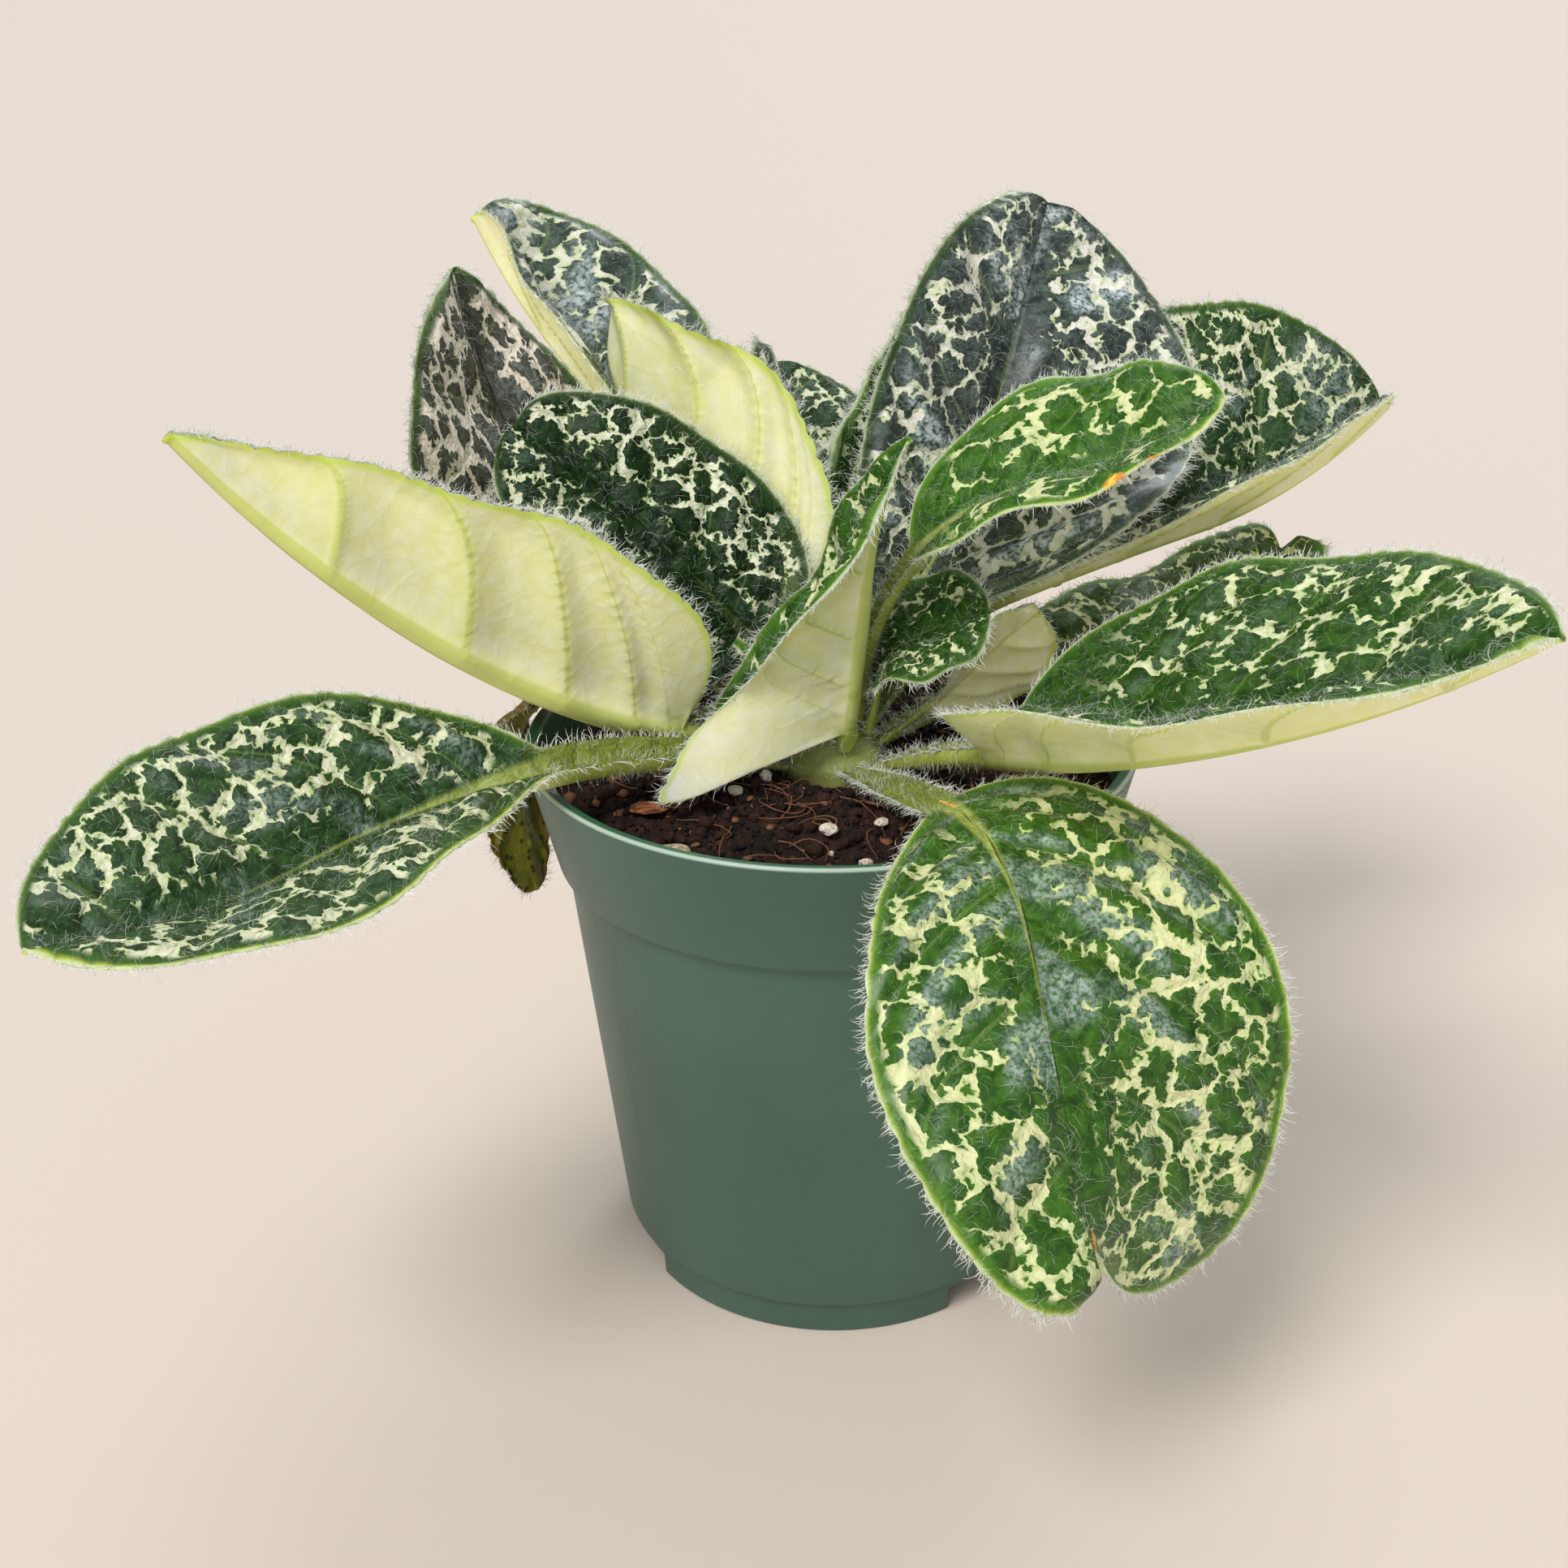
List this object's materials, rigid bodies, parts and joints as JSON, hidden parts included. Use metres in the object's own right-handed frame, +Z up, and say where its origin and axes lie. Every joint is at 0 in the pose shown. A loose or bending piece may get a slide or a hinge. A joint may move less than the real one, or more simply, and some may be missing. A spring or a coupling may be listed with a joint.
{
  "type": "potted rosette plant with net-patterned leaves",
  "caption": "Rosette of broad hairy leaves with a pale net pattern on dark green, growing in soil in a round green nursery pot with a notched foot.",
  "frame": {"origin": "on the pot's axis, on the surface that the pot stands on, under the middle of the plant", "axes": "+Z up along the pot's axis, +X to the right of the plant seen from its front, -Y towards the front"},
  "size_m": [0.2252, 0.2105, 0.1806],
  "materials": {
    "pot_plastic": "satin moulded plastic, dull grey-green",
    "soil": "crumbly dark potting mix",
    "stem": "fleshy, hairy",
    "leaf": "hairy and quilted, dark green with a cream net, pale green underneath",
    "old_leaf": "olive, brown at its edges",
    "grain": "chalky crumbs",
    "bark": "rough chip"
  },
  "bodies": {
    "root": {"bark_chip": "bark", "crown": "stem", "leaf_back_left": "leaf", "leaf_back_narrow": "leaf", "leaf_back_small": "leaf", "leaf_back_tall": "leaf", "leaf_back_upturned": "leaf", "leaf_behind_left": "leaf", "leaf_behind_right": "leaf", "leaf_centre_folded": "leaf", "leaf_centre_left": "leaf", "leaf_centre_small": "leaf", "leaf_far_left": "leaf", "leaf_front_bright": "leaf", "leaf_front_drooping": "leaf", "leaf_inner_a": "leaf", "leaf_inner_b": "leaf", "leaf_left_folded": "leaf", "leaf_low_left": "leaf", "leaf_low_right": "leaf", "leaf_old_hanging": "old_leaf", "leaf_right_back_low": "leaf", "leaf_right_cupped": "leaf", "leaf_upper_right": "leaf", "perlite_a": "grain", "perlite_b": "grain", "perlite_c": "grain", "perlite_d": "grain", "perlite_e": "grain", "pot": "pot_plastic", "small_stone": "grain", "soil": "soil"}
  },
  "joints": []
}
